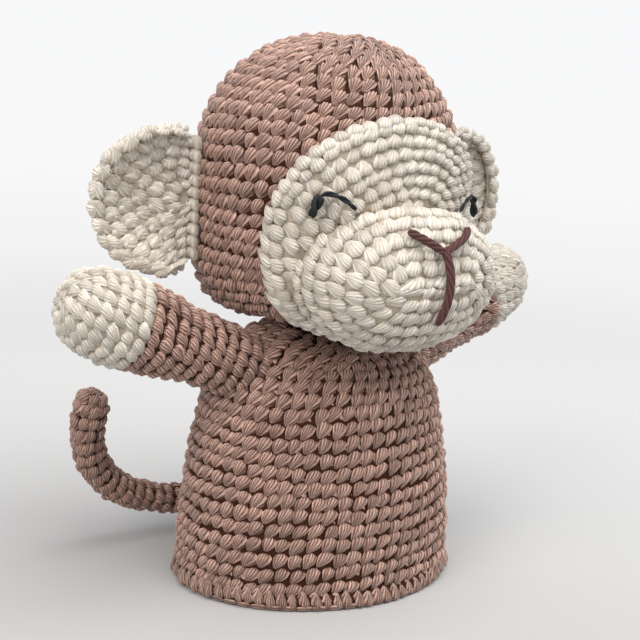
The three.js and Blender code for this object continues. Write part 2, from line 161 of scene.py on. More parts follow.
world = bpy.data.worlds.new("room")
scene.world = world
world.use_nodes = True
tree = world.node_tree
room = tree.nodes["Background"]
room.inputs["Color"].default_value = (0.93, 0.96, 1, 1)
room.inputs["Strength"].default_value = 0.48
wall = tree.nodes.new("ShaderNodeBackground")
wall.inputs["Color"].default_value = (0.94, 0.945, 0.955, 1)
cross_fade(tree, seen_directly(tree), room.outputs["Background"], wall.outputs["Background"], "World Output")


def window(name, offset, size, power, colour):
    """A round lamp that faces the puppet: offset to the camera's right, up, and toward the camera."""
    lamp = bpy.data.lights.new(name, "AREA")
    lamp.shape = "DISK"
    lamp.size = size
    lamp.energy = power
    lamp.color = colour
    obj = bpy.data.objects.new(name, lamp)
    obj.location = look_at + camera_side * offset[0] + straight_up * offset[1] + camera_back * offset[2]
    obj.rotation_euler = (look_at - obj.location).to_track_quat("-Z", "Y").to_euler()
    scene.collection.objects.link(obj)


window("window", (0.35, 1.0, 0.35), 1.4, 16.5, (1, 0.985, 0.96))
window("far window", (-0.5, 0.45, 0.8), 0.7, 5, (1, 0.93, 0.87))


# Body. A bell worked in single crochet, in rounds from the hem up to the neck, in dusty brown yarn.
# Each stitch is a plump puff whose strands fan up from its foot, over a lining of the yarn's back
# whose dark colour paints the shade in the gaps. The wrong side of the stitches lines the inside.
hand = random.Random(11)


def run_lengths(points):
    """How far along a line of points each of them lies."""
    runs = [0.0]
    for a, b in zip(points, points[1:]):
        runs.append(runs[-1] + (b - a).length)
    return runs


def by_length(points):
    """A function that gives places on a line of points by their share of its length, and that length."""
    runs = run_lengths(points)

    def place(share):
        want = share * runs[-1]
        i = bisect_left(runs, want, 1, len(runs) - 1)
        return points[i - 1].lerp(points[i], (want - runs[i - 1]) / (runs[i] - runs[i - 1]))

    return place, runs[-1]


def smoothstep(share):
    share = min(1, max(0, share))
    return share * share * (3 - 2 * share)


def stitch_shape(name, legs, length, depth, lean=0.0):
    """Ridged legs of yarn that fan up from a foot: a unit stitch, X along its round, Y up and Z outwards.
    The foot is drawn out and dives into the fabric, and a leg that leans curls its top back into it.
    A leg is given by the place of its foot and its top, its width, and its counts of strands and rings."""
    groove_depth, unevenness, wander = 0.18, 0.12, 0.16
    twist, spread, narrowing = 0.3, 0.5, 0.45
    drawn_out, dive = 0.3 * lean, 0.1 + 0.5 * lean
    shape = bmesh.new()
    shape.loops.layers.uv.new("yarn")
    crest = shape.verts.layers.float.new("crest")
    for foot, top, width, strands, rings in legs:
        leg = bmesh.ops.create_uvsphere(
            shape, u_segments=2 * strands, v_segments=rings, radius=0.5, calc_uvs=True)["verts"]
        bmesh.ops.rotate(shape, verts=leg, matrix=Matrix.Rotation(radians(-90), 3, "X"))
        uneven = [hand.random() for strand in range(2 * strands)]
        for vert in leg:
            share, turn = vert.co.y + 0.5, atan2(vert.co.x, vert.co.z)
            strand = round(turn * strands / pi) % (2 * strands)
            groove, odd = strand % 2, uneven[strand] - 0.5
            reach = hypot(vert.co.x, vert.co.z) * (1 + unevenness * odd - groove_depth * groove)
            turn += twist * (share - 0.5) - spread * sin(turn) + wander * odd
            up, out = vert.co.y, reach * cos(turn)
            up, out = up * cos(lean) + out * sin(lean), out * cos(lean) - up * sin(lean)
            pulled = (1 - share) ** 3
            # Crest is 0 in the grooves between strands, which the material paints in shade; on the strands
            # it varies at random.
            vert[crest] = (1 - groove) * (0.55 + 0.45 * uneven[strand])
            vert.co.x = reach * sin(turn) * width * (1 - narrowing * pulled) + top + (foot - top) * pulled
            vert.co.y = up * length - drawn_out * pulled
            vert.co.z = out * depth - dive * pulled
    mesh = bpy.data.meshes.new(name)
    shape.to_mesh(mesh)
    shape.free()
    return mesh


single_leg = (-0.32, 0.04, 1.12, 8, 5)
single_stitches = [stitch_shape("single stitch", (single_leg,), 1.08, 0.88, 0.65) for shape in range(6)]


def new_cloth():
    """An empty piece of crochet, which also counts how its stitches are tinted."""
    cloth = bmesh.new()
    cloth.loops.layers.uv.new("yarn")
    cloth.verts.layers.float.new("crest")
    return {"mesh": cloth, "tints": []}


def add_stitch(cloth, stitch, middle, across, upward, outward):
    copy = stitch.copy()
    turn = Matrix((across, upward, outward)).transposed().to_4x4()
    copy.transform(Matrix.Translation(middle) @ turn)
    cloth["mesh"].from_mesh(copy)
    cloth["tints"] += [hand.random()] * len(copy.polygons)
    bpy.data.meshes.remove(copy)


def frame_on(surface, turn, rise, half):
    """The middle, the width across and the height up of one stitch, and its outward direction."""
    across = surface(turn + half, rise) - surface(turn - half, rise)
    upward = surface(turn, rise + 0.5) - surface(turn, rise - 0.5)
    return surface(turn, rise), across, upward, across.cross(upward).normalized()


def work_rounds(cloth, stitches, surface, rounds, pitch, sink, skip=None, inward=False, closed=True):
    """Works rounds of stitches over a surface that takes a share of a turn and a round. As in handwork,
    the rounds wave a little, and the stitches differ in place, size, slant and depth."""
    steps, slip, unsteady = 96, 0.16, 0.08
    wave_height, waves, wave_slip = 0.13, 3, 0.09
    for row in rounds:
        runs = run_lengths([surface(k / steps, row + 0.5) for k in range(steps + 1)])
        count = max(5, round(runs[-1] / pitch))
        loose = min(1, count / 30)
        drawn_in = 0.0006 if closed and count < 8 else 0
        for k in range(count):
            share = (k + slip * row + hand.uniform(-0.1, 0.1)) / count % 1 if closed else (k + 0.5) / count
            step = bisect(runs, share * runs[-1], 1, steps) - 1
            run = runs[step + 1] - runs[step]
            turn = (step + (share * runs[-1] - runs[step]) / run) / steps
            half = 0.5 / count / (steps * run / runs[-1])
            swell = wave_height * sin(2 * pi * (waves * share + wave_slip * row))
            wave = loose * (swell + hand.uniform(-unsteady, unsteady))
            middle, across, upward, outward = frame_on(surface, turn, row + 0.5 + wave, half)
            if skip and skip(middle):
                continue
            if inward:
                across, outward = -across, -outward
            width = across.normalized() * across.length * hand.uniform(0.96, 1.14)
            upward = upward * hand.uniform(0.92, 1.1) + across * hand.uniform(-0.16, 0.16)
            middle = middle - outward * (sink + drawn_in + hand.uniform(-0.0005, 0.0005))
            add_stitch(cloth, hand.choice(stitches), middle, width, upward, outward * pitch)


def work_lining(cloth, surface, rounds, sides, steps, sink, thickness, skip=None):
    """The yarn's back under the stitches: a grid laid on the surface, sunk and given a thickness."""
    back = bmesh.new()
    back.loops.layers.uv.new("yarn")
    bmesh.ops.create_grid(back, x_segments=sides, y_segments=steps, size=0.5, calc_uvs=True)
    for vert in back.verts:
        turn, rise = vert.co.x + 0.5, rounds[0] + (vert.co.y + 0.5) * (rounds[1] - rounds[0])
        middle, _, _, outward = frame_on(surface, turn, rise, 0.01)
        vert.co = middle - outward * sink
    if skip:
        hidden = [face for face in back.faces if skip(face.calc_center_median())]
        bmesh.ops.delete(back, geom=hidden, context="FACES")
    bmesh.ops.remove_doubles(back, verts=back.verts, dist=0.00005)
    bmesh.ops.recalc_face_normals(back, faces=back.faces)
    if thickness:
        bmesh.ops.solidify(back, geom=back.faces, thickness=thickness)
    add_backing(cloth, back, "lining")


def add_backing(cloth, back, name):
    """Puts a plain shape into a piece of crochet, in the dark colour of the yarn's back, which paints shade
    in the gaps and under the hem.
    """
    for face in back.faces:
        face.material_index = 1
    mesh = bpy.data.meshes.new(name)
    back.to_mesh(mesh)
    back.free()
    cloth["mesh"].from_mesh(mesh)
    cloth["tints"] += [0.5] * len(mesh.polygons)
    bpy.data.meshes.remove(mesh)


def finish_off(cloth, name, yarns):
    """A finished piece of crochet as an object, with its stitches smooth and tinted one by one."""
    mesh = bpy.data.meshes.new(name)
    cloth["mesh"].to_mesh(mesh)
    cloth["mesh"].free()
    mesh.polygons.foreach_set("use_smooth", [True] * len(mesh.polygons))
    tint = mesh.attributes.new("tint", "FLOAT", "FACE")
    tint.data.foreach_set("value", cloth["tints"])
    for yarn in yarns:
        mesh.materials.append(yarn)
    obj = bpy.data.objects.new(name, mesh)
    scene.collection.objects.link(obj)
    return obj


def between(tree, share, low, high):
    """A colour between two, each of which is a colour or another node's output."""
    blend = tree.nodes.new("ShaderNodeMix")
    blend.data_type = "RGBA"
    tree.links.new(share, blend.inputs["Factor"])
    for end, colour in (("A", low), ("B", high)):
        if isinstance(colour, tuple):
            blend.inputs[end].default_value = (*colour, 1)
        else:
            tree.links.new(colour, blend.inputs[end])
    return blend.outputs["Result"]


def raised(tree, shader, height, strength, distance):
    """Fine relief of the fibres."""
    bump = tree.nodes.new("ShaderNodeBump")
    bump.inputs["Strength"].default_value = strength
    bump.inputs["Distance"].default_value = distance
    tree.links.new(height, bump.inputs["Height"])
    tree.links.new(bump.outputs["Normal"], shader.inputs["Normal"])


def spun_yarn(name, colour, shade, gap_shade):
    """Lustrous acrylic yarn: fine strands fan up each stitch. The shade colour paints shade in the grooves
    between strands, and the gap colour paints shade where the stitch dives into the fabric.
    """
    yarn, tree, shader = new_material(name, 0.42, 0.5)
    shader.inputs["Sheen Weight"].default_value = 0.3
    shader.inputs["Sheen Roughness"].default_value = 0.4
    uv = tree.nodes.new("ShaderNodeUVMap")
    uv.uv_map = "yarn"
    tint = tree.nodes.new("ShaderNodeAttribute")
    tint.attribute_name = "tint"
    strands = tree.nodes.new("ShaderNodeAttribute")
    strands.attribute_name = "crest"
    offset = tree.nodes.new("ShaderNodeVectorMath")
    twist = tree.nodes.new("ShaderNodeMapping")
    twist.inputs["Rotation"].default_value = (0, 0, radians(14))
    stretch = tree.nodes.new("ShaderNodeMapping")
    stretch.inputs["Scale"].default_value = (40, 3, 1)
    fibres = tree.nodes.new("ShaderNodeTexNoise")
    fibres.inputs["Scale"].default_value = 1
    fibres.inputs["Detail"].default_value = 2
    lines = tree.nodes.new("ShaderNodeMix")
    lines.inputs["Factor"].default_value = 0.5
    along = tree.nodes.new("ShaderNodeSeparateXYZ")
    tree.links.new(uv.outputs["UV"], offset.inputs[0])
    tree.links.new(tint.outputs["Vector"], offset.inputs[1])
    tree.links.new(offset.outputs["Vector"], twist.inputs["Vector"])
    tree.links.new(twist.outputs["Vector"], stretch.inputs["Vector"])
    tree.links.new(stretch.outputs["Vector"], fibres.inputs["Vector"])
    tree.links.new(strands.outputs["Fac"], lines.inputs["A"])
    tree.links.new(fibres.outputs["Fac"], lines.inputs["B"])
    tree.links.new(uv.outputs["UV"], along.inputs["Vector"])
    crest = mapped(tree, lines.outputs["Result"], 0.25, 0.72, curve="LINEAR")
    # foot and top paint shade at the stitch's two ends, where it dives into the fabric.
    foot = mapped(tree, along.outputs["Y"], -0.12, 0.12)
    top = mapped(tree, along.outputs["Y"], 1.0, 0.68)
    strand_colour_with_groove_shade = between(tree, crest, shade, colour)
    stitch_colour_with_painted_shade = between(tree, joined(tree, "MULTIPLY", foot, top), gap_shade, strand_colour_with_groove_shade)
    dye = tree.nodes.new("ShaderNodeHueSaturation")
    tree.links.new(mapped(tree, tint.outputs["Fac"], 0, 1, 0.86, 1.12, "LINEAR"), dye.inputs["Value"])
    tree.links.new(stitch_colour_with_painted_shade, dye.inputs["Color"])
    tree.links.new(dye.outputs["Color"], shader.inputs["Base Color"])
    raised(tree, shader, lines.outputs["Result"], 0.9, 0.0007)
    return yarn


def fibre_noise(tree, size, detail, distortion=0.0):
    """Fine fibres all through a yarn."""
    place = tree.nodes.new("ShaderNodeTexCoord")
    fibres = tree.nodes.new("ShaderNodeTexNoise")
    fibres.inputs["Scale"].default_value = size
    fibres.inputs["Detail"].default_value = detail
    fibres.inputs["Distortion"].default_value = distortion
    tree.links.new(place.outputs["Object"], fibres.inputs["Vector"])
    return fibres.outputs["Fac"]


def shaded_yarn_back(name, colour):
    """The back of the stitches, seen in the gaps: the same yarn, flat and fuzzy, in a dark colour that
    paints the shade in the gaps.
    """
    yarn, tree, shader = new_material(name, 0.95, 0.1)
    fuzz = fibre_noise(tree, 900, 3)
    dark = tuple(part * 0.6 for part in colour)
    tree.links.new(between(tree, fuzz, dark, colour), shader.inputs["Base Color"])
    raised(tree, shader, fuzz, 0.8, 0.0008)
    return yarn


# After each yarn's own colour come two colours of painted shade, for the grooves between strands and for a
# stitch's dives into the fabric; the back's dark colour paints the shade in the gaps.
brown = spun_yarn("brown yarn", (0.77, 0.492, 0.395), (0.076, 0.026, 0.0135), (0.068, 0.022, 0.011))
brown_back_shade = shaded_yarn_back("brown yarn back in painted shade", (0.064, 0.025, 0.015))
brown_yarns = (brown, brown_back_shade)

stitch_pitch, round_height, stitch_sink = 0.006, 0.0057, 0.0024
lining_sink, lining_thick = 0.003, 0.0012
pivots = {joint["name"]: Vector(joint["pos_m"]) for joint in frame["record"]["behaviour"]["joints"]}
neck = pivots["head_turn"]
hem_low, hem_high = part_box("hem_edging")
hem_half = (hem_high.x - hem_low.x) / 2
depth_ratio = (hem_high.y - hem_low.y) / (hem_high.x - hem_low.x)
bell_curves = [
    [(hem_half, 0.0053), (hem_half, 0.034), (0.0565, 0.055), (0.053, 0.072)],
    [(0.053, 0.072), (0.0495, 0.089), (0.038, 0.101), (0, 0.101)],
]
bell_line = []
for curve in bell_curves:
    bell_line += [point.to_2d() for point in interpolate_bezier(*(Vector((*p, 0)) for p in curve), 24)]
neck_radius = 0.016
neck_line = [Vector((neck_radius * cos(a), neck.z + neck_radius * sin(a))) for a in
             (radians(12 + 9 * k) for k in range(5))]
body_line = [point for point in bell_line if point.x > neck_radius + 0.001] + neck_line
body_at, body_length = by_length(body_line)
body_rounds = round(body_length / round_height)
shoulder_rise = 0.009


def body_surface(turn, rise):
    """A place on the bell, whose shoulders are raised at the sides and a little behind."""
    radius, height = body_at(rise / body_rounds)
    round_at = 2 * pi * turn
    on_shoulder = smoothstep((0.05 - radius) / 0.016) * smoothstep((radius - 0.014) / 0.009)
    off_front = smoothstep(sin(round_at) + 0.85)
    at_rear = smoothstep((sin(round_at) - 0.1) / 0.6)
    height += shoulder_rise * on_shoulder * off_front * (1 - 0.7 * at_rear)
    return Vector((neck.x + radius * cos(round_at), neck.y + radius * depth_ratio * sin(round_at), height))


def bell_half(height):
    """Half the bell's width at a height."""
    for a, b in zip(bell_line, bell_line[1:]):
        if a.y <= height <= b.y and b.y > a.y:
            return a.x + (b.x - a.x) * (height - a.y) / (b.y - a.y)
    return 0.0 if height > 0.1 else hem_half


def depth_in_bell(place):
    """How far a place lies inside the bell, measured level; negative outside it."""
    return bell_half(place.z) - hypot(place.x - neck.x, (place.y - neck.y) / depth_ratio)


arm_lifts = {"right": (-1, radians(21.5)), "left": (1, radians(22))}
arm_back = radians(9)
arm_hole_half, arm_hole_start = 0.0095, -0.008


def arm_direction(name):
    side, lift = arm_lifts[name]
    return Vector((side * cos(lift) * cos(arm_back), cos(lift) * sin(arm_back), sin(lift)))


def in_arm_hole(place):
    for name in arm_lifts:
        reach = place - pivots[name + "_arm_raise"]
        along = reach.dot(arm_direction(name))
        if along > arm_hole_start and (reach - along * arm_direction(name)).length < arm_hole_half:
            return True
    return False


body = new_cloth()
work_lining(body, body_surface, (0, body_rounds), 96, 40, lining_sink, lining_thick, in_arm_hole)
work_rounds(body, single_stitches, body_surface, range(body_rounds), stitch_pitch, stitch_sink, in_arm_hole)
wrong_sides = [stitch_shape("wrong side of a stitch", ((-0.2, 0.2, 1.05, 4, 3),), 1.1, 0.5)]
wrong_pitch, wrong_sink = 0.0066, -0.0046
work_rounds(body, wrong_sides, body_surface, range(body_rounds), wrong_pitch, wrong_sink, in_arm_hole, True)
body_piece = finish_off(body, "body", brown_yarns)
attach(body_piece, "torso")
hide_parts("body_shell")


# Hem. A round of short brown stitches hangs over the open edge and finishes it. A chain runs along
# the underside, over a firm ring of yarn on which the puppet stands.
def work_chain(cloth, stitch, path, outward_at, count, width, sink):
    """Stitches laid end to end along a path, each with its foot in the one before."""
    for k in range(count):
        share = (k + 0.5) / count
        along = path(share + 0.5 / count) - path(share - 0.5 / count)
        outward = outward_at(share)
        outward = (outward - along.normalized() * outward.dot(along.normalized())).normalized()
        aside = along.cross(outward).normalized()
        along = along * hand.uniform(1.0, 1.12)
        middle = path(share) - outward * sink
        add_stitch(cloth, stitch, middle, aside * width * hand.uniform(0.95, 1.06), along, outward * width)


def hem_path(share, height, grow):
    radius = hem_half + grow
    round_at = 2 * pi * share
    return Vector((neck.x + radius * cos(round_at), neck.y + radius * depth_ratio * sin(round_at), height))


hem_top, hem_drop, hem_slant = 0.0069, 0.0054, 0.007
hem_pitch, hem_sink = 0.0044, 0.001
ring_half, ring_stretch, ring_inset, ring_height = 0.0021, 1.4, 0.0031, 0.0037
edge_count, edge_wide, edge_height, edge_inset = 57, 0.0042, 0.0014, 0.0033


def hem_surface(turn, rise):
    """The outside of the hem from its top down, on which stitches slant."""
    return hem_path(turn + hem_slant * rise, hem_top - hem_drop * rise, 0)


def hem_underside(share):
    return hem_path(-share, edge_height, -edge_inset)


chain_legs = ((0.1, 0.26, 0.66, 5, 4), (-0.1, -0.26, 0.66, 5, 4))
chain_stitch = stitch_shape("chain stitch", chain_legs, 1.45, 0.62)
ring = bmesh.new()
ring.loops.layers.uv.new("yarn")
bmesh.ops.create_circle(ring, segments=8, radius=ring_half, cap_ends=False)
bmesh.ops.rotate(ring, verts=ring.verts, matrix=Matrix.Rotation(radians(90), 3, "X"))
bmesh.ops.scale(ring, verts=ring.verts, vec=(1, 1, ring_stretch))
bmesh.ops.translate(ring, verts=ring.verts, vec=(hem_half - ring_inset, 0, ring_height))
bmesh.ops.spin(ring, geom=ring.verts[:] + ring.edges[:], axis=(0, 0, 1), cent=(0, 0, 0), angle=2 * pi,
               steps=96, use_merge=True)
bmesh.ops.scale(ring, verts=ring.verts, vec=(1, depth_ratio, 1))
bmesh.ops.translate(ring, verts=ring.verts, vec=(neck.x, neck.y, 0))
bmesh.ops.recalc_face_normals(ring, faces=ring.faces)
hem = new_cloth()
# The ring takes the dark colour of the yarn's back: painted shade under the hem.
add_backing(hem, ring, "hem ring")
work_rounds(hem, single_stitches, hem_surface, range(1), hem_pitch, hem_sink, None, True)
work_chain(hem, chain_stitch, hem_underside, lambda share: -straight_up, edge_count, edge_wide, 0.0)
hem_piece = finish_off(hem, "hem", brown_yarns)
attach(hem_piece, "torso")
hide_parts("hem_edging")


# Head. A stuffed ball of brown crochet, worked in rounds up to the crown and drawn in at the neck.
# The sewn face covers its front, so no stitches show there.
head_half, head_up, head_down, head_front, head_rear = 0.0545, 0.061, 0.0525, 0.0475, 0.0625
crown_full, jowl_full, nape_full = 2.25, 3.8, 0.7
head_middle = Vector((neck.x, neck.y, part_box("head_shell")[1].z - 0.062))
head_opening = radians(-71)
head_round_height = 0.0059


def head_radius(direction):
    """From the head's middle to its outside: a full egg, deeper behind, with its widest part low."""
    depth = head_rear if direction.y > 0 else head_front
    height, full = (head_down, jowl_full) if direction.z < 0 else (head_up, crown_full)
    if direction.z < 0:
        full += nape_full * smoothstep((direction.y + 0.15) / 0.4)
    level = hypot(direction.x / head_half, direction.y / depth)
    return (level ** full + abs(direction.z / height) ** full) ** (-1 / full)


def on_sphere(rise, round_at):
    return Vector((cos(rise) * cos(round_at), cos(rise) * sin(round_at), sin(rise)))


head_rises = [head_opening + (pi / 2 - head_opening) * k / 60 for k in range(61)]
head_line = [on_sphere(rise, 0) * head_radius(on_sphere(rise, 0)) for rise in head_rises]
head_line_at, head_length = by_length(head_line)
head_rounds = round(head_length / head_round_height)


def head_surface(turn, rise):
    side = head_line_at(rise / head_rounds)
    direction = on_sphere(atan2(side.z, side.x), 2 * pi * turn)
    return head_middle + direction * head_radius(direction)


face_tilt = radians(13)
face_ahead = Vector((0, -cos(face_tilt), -sin(face_tilt)))
face_up = Vector((0, -sin(face_tilt), cos(face_tilt)))
face_aside, brow, chin = radians(60), radians(45), radians(51)


def face_edge(round_at):
    """The angle from the middle of the face to its edge."""
    rise = brow if sin(round_at) > 0 else chin
    return 1 / hypot(cos(round_at) / face_aside, sin(round_at) / rise)


def under_face(place):
    direction = (place - head_middle).normalized()
    edge = face_edge(atan2(direction.dot(face_up), direction.x))
    return face_ahead.angle(direction) / edge < 0.93


head = new_cloth()
work_lining(head, head_surface, (0, head_rounds - 0.01), 72, 48, lining_sink, lining_thick)
work_rounds(head, single_stitches, head_surface, range(head_rounds), stitch_pitch, stitch_sink, under_face)
head_piece = finish_off(head, "head", brown_yarns)
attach(head_piece, "head")
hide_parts("head_shell", "head_stuffing")


# Neck seam. A length of the same brown yarn sews the head's opening to the top of the body,
# whipped round in short slanted stitches.
whip_count, whip_radius, whip_rise = 26, 0.0172, 0.0052
whip_wide, whip_tall, whip_slant = 0.0034, 0.0075, 0.003
whip_stitch = stitch_shape("whip stitch", ((0, 0, 0.9, 5, 4),), 1.1, 0.8)
neck_sewing = new_cloth()
for k in range(whip_count):
    round_at = 2 * pi * k / whip_count
    outward = Vector((cos(round_at), sin(round_at), 0.3)).normalized()
    upward = Vector((-sin(round_at) * whip_slant, cos(round_at) * whip_slant, whip_tall))
    across = upward.cross(outward).normalized() * whip_wide
    middle = neck + Vector((whip_radius * cos(round_at), whip_radius * sin(round_at), whip_rise))
    add_stitch(neck_sewing, whip_stitch, middle, across, upward, outward * whip_wide)
neck_piece = finish_off(neck_sewing, "neck_sewing", brown_yarns)
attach(neck_piece, "neck")
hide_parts("neck_seam")


# Finger sleeve. A plain pocket of brown crochet inside the stuffed head, open at the neck and closed
# at its top, for the index finger that nods and turns the head.
pocket_low, pocket_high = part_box("finger_sleeve")
pocket_radius, pocket_rounds, pocket_round_from = 0.0112, 9, 0.85
pocket_pitch, pocket_sink = 0.0058, 0.0006


def pocket_surface(turn, rise):
    share = rise / pocket_rounds
    radius = pocket_radius
    if share >= pocket_round_from:
        radius *= sqrt(max(0.0004, 1 - ((share - pocket_round_from) / (1 - pocket_round_from)) ** 2))
    height = pocket_low.z + 0.001 + (pocket_high.z - pocket_low.z - 0.002) * share
    return Vector((neck.x + radius * cos(2 * pi * turn), neck.y + radius * sin(2 * pi * turn), height))


pocket = new_cloth()
work_lining(pocket, pocket_surface, (0, pocket_rounds), 32, 24, 0.0, lining_thick)
work_rounds(pocket, single_stitches, pocket_surface, range(pocket_rounds - 1), pocket_pitch, pocket_sink,
            None, True)
pocket_piece = finish_off(pocket, "finger_pocket", brown_yarns)
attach(pocket_piece, "head")
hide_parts("finger_sleeve")


# Face. One oval of cream crochet sewn over the front of the head; its lower half swells out
# as a stuffed muzzle. Rounds run along the face's edge above, and round the muzzle's front below.
# As for the brown: the cream's own colour, then painted shade for the grooves and the dives, and a darker
# back that paints the shade in the gaps.
cream = spun_yarn("cream yarn", (0.91, 0.87, 0.8), (0.54, 0.465, 0.375), (0.5, 0.425, 0.335))
cream_back_shade = shaded_yarn_back("cream yarn back in painted shade", (0.62, 0.535, 0.43))
cream_yarns = (cream, cream_back_shade)
face_thick, face_rounds, face_pitch, face_sink = 0.0045, 8, 0.0061, 0.0023
muzzle_middle = head_middle + Vector((0, -0.043, -0.028))
muzzle_wide, muzzle_tall, muzzle_front, muzzle_rear = 0.044, 0.030, 0.030, 0.025


def face_direction(away, round_at):
    aside = Vector((cos(round_at), 0, 0)) + face_up * sin(round_at)
    return face_ahead * cos(away) + aside * sin(away)


def face_surface(turn, rise):
    round_at = 2 * pi * turn
    direction = face_direction(face_edge(round_at) * (1 - rise / (face_rounds + 1)), round_at)
    return head_middle + direction * (head_radius(direction) + face_thick)


def muzzle_radius(direction):
    """From the muzzle's middle to its outside."""
    depth = muzzle_rear if direction.y > 0 else muzzle_front
    full = 2.5 if direction.y > 0 else 2
    level = hypot(direction.x / muzzle_wide, direction.z / muzzle_tall)
    return (level ** full + abs(direction.y / depth) ** full) ** (-1 / full)


def in_muzzle(place, grow):
    reach = place - muzzle_middle
    return reach.length < muzzle_radius(reach.normalized()) + grow


def in_face(place, grow):
    reach = place - head_middle
    return reach.length < head_radius(reach.normalized()) + face_thick + grow


muzzle_line = []
for k in range(41):
    swing = radians(125) * (1 - k / 40)
    direction = Vector((sin(swing), -cos(swing), 0))
    muzzle_line.append(direction * muzzle_radius(direction))
muzzle_at, muzzle_length = by_length(muzzle_line)
muzzle_reach = muzzle_length * muzzle_tall / muzzle_wide
muzzle_chain, muzzle_tuck, muzzle_round_height = 0.013, 0.15, 0.0058
muzzle_rounds = round(muzzle_reach / muzzle_round_height)


def oval(turn, away, half, end):
    """A place on an oval round a straight chain of stitches, so far above it and so far past its end."""
    flip, share = (1, 2 * (turn % 1)) if turn % 1 < 0.5 else (-1, 2 * (turn % 1) - 1)
    if share < 0.4:
        return flip * half * (1 - share / 0.2), flip * away
    swing = pi * (share - 0.4) / 0.6
    return flip * (-half - end * sin(swing)), flip * away * cos(swing)


def muzzle_surface(turn, rise):
    share = max(0.01, 1 - (rise + muzzle_tuck) / muzzle_rounds)
    aside, over = oval(turn, muzzle_reach * share, muzzle_chain, (muzzle_length - muzzle_chain) * share)
    over *= muzzle_wide / muzzle_tall
    side = muzzle_at(1 - min(1, hypot(aside, over) / muzzle_length))
    round_at = atan2(over, aside)
    return muzzle_middle + Vector(
        (side.x * cos(round_at), side.y, side.x * sin(round_at) * muzzle_tall / muzzle_wide))


lining_overlap, stitch_overlap = -0.004, -0.0016
face = new_cloth()
work_lining(face, face_surface, (0, face_rounds), 64, 24, lining_sink, lining_thick,
            lambda place: in_muzzle(place, lining_overlap))
work_lining(face, muzzle_surface, (0, muzzle_rounds), 64, 32, lining_sink, lining_thick,
            lambda place: in_face(place, lining_overlap))
work_rounds(face, single_stitches, face_surface, range(face_rounds), face_pitch, face_sink,
            lambda place: in_muzzle(place, stitch_overlap))
work_rounds(face, single_stitches, muzzle_surface, range(muzzle_rounds), face_pitch, face_sink,
            lambda place: in_face(place, stitch_overlap))
face_piece = finish_off(face, "face", cream_yarns)
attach(face_piece, "head")
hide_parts("face_patch", "muzzle_stuffing")


# Face border. The last round of the face, in the same cream yarn, slopes down to the head all round
# and is sewn to it there.
border_out, border_run = 0.075, 0.1
border_low, border_rise = 0.001, 0.003
border_pitch, border_sink = 0.0058, 0.001


def border_surface(turn, rise):
    round_at = 2 * pi * turn
    direction = face_direction(face_edge(round_at) + border_out - border_run * rise, round_at)
    return head_middle + direction * (head_radius(direction) + border_low + border_rise * rise)


border = new_cloth()
work_rounds(border, single_stitches, border_surface, range(1), border_pitch, border_sink)
border_piece = finish_off(border, "face_chain", cream_yarns)
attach(border_piece, "head")
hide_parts("face_border")


# Eyes, nose and mouth. Closed eyes in black thread and three strokes of maroon yarn, all embroidered
# through the finished face. Each stroke is a few plies that wind round each other.
def twisted(name, points, radius, plies, turns, yarn, full=1.0, thin=1.0):
    """A length of yarn laid through points, which tapers into the fabric at both ends.
    Past the share called full it is thinner."""
    place = by_length(points)[0]
    steps, taper, end_size = 40, 0.06, 0.45
    data = bpy.data.curves.new(name, "CURVE")
    data.dimensions = "3D"
    data.bevel_depth = radius
    data.bevel_resolution = 2
    data.use_fill_caps = True
    for ply in range(plies):
        spline = data.splines.new("POLY")
        spline.points.add(steps)
        for k in range(steps + 1):
            share = k / steps
            along = (place(min(1, share + 0.02)) - place(max(0, share - 0.02))).normalized()
            outward = (place(share) - head_middle).normalized()
            aside = along.cross(outward).normalized()
            outward = aside.cross(along)
            size = 1 if share < full else thin
            size *= min(1, end_size + (1 - end_size) * min(share, 1 - share) / taper)
            wind = 2 * pi * (turns * share + ply / plies)
            spread = 0.85 * radius * size / sin(pi / plies)
            middle = place(share) + spread * (aside * cos(wind) + outward * sin(wind))
            spline.points[k].co = (*middle, 1)
            spline.points[k].radius = size
    lay = bpy.data.objects.new(name, data)
    scene.collection.objects.link(lay)
    mesh = bpy.data.meshes.new_from_object(lay.evaluated_get(bpy.context.evaluated_depsgraph_get()))
    bpy.data.objects.remove(lay)
    bpy.data.curves.remove(data)
    mesh.name = name
    mesh.materials.clear()
    mesh.materials.append(yarn)
    mesh.polygons.foreach_set("use_smooth", [True] * len(mesh.polygons))
    obj = bpy.data.objects.new(name, mesh)
    scene.collection.objects.link(obj)
    return obj


def thread(name, colour, light, size):
    """Embroidery thread: fine fibres with a soft gloss."""
    yarn, tree, shader = new_material(name, 0.6, 0.25)
    fibres = fibre_noise(tree, size, 4, 1.2)
    tree.links.new(between(tree, fibres, colour, light), shader.inputs["Base Color"])
    raised(tree, shader, fibres, 0.5, 0.0003)
    return yarn


black = thread("black thread", (0.004, 0.006, 0.007), (0.013, 0.017, 0.019), 1500)
maroon = thread("maroon yarn", (0.035, 0.012, 0.013), (0.16, 0.066, 0.063), 1300)


def on_face(side, aside, rise, lift):
    direction = Vector((side * cos(radians(rise)) * sin(radians(aside)),
                        -cos(radians(rise)) * cos(radians(aside)), sin(radians(rise))))
    return head_middle + direction * (head_radius(direction) + face_thick + lift)


def on_muzzle(side, aside, rise, lift):
    return muzzle_middle + Vector((
        (muzzle_wide + lift) * side * cos(radians(rise)) * sin(radians(aside)),
        -(muzzle_front + lift) * cos(radians(rise)) * cos(radians(aside)),
        (muzzle_tall + lift) * sin(radians(rise))))


def smooth_line(points, steps=12):
    """A smooth line through a few points."""
    ends = [2 * points[0] - points[1]] + points + [2 * points[-1] - points[-2]]
    line = []
    for a, b, c, d in zip(ends, ends[1:], ends[2:], ends[3:]):
        for k in range(steps):
            t = k / steps
            line.append(0.5 * (2 * b + (c - a) * t + (2 * a - 5 * b + 4 * c - d) * t ** 2
                               + (3 * b - a - 3 * c + d) * t ** 3))
    return line + [points[-1]]


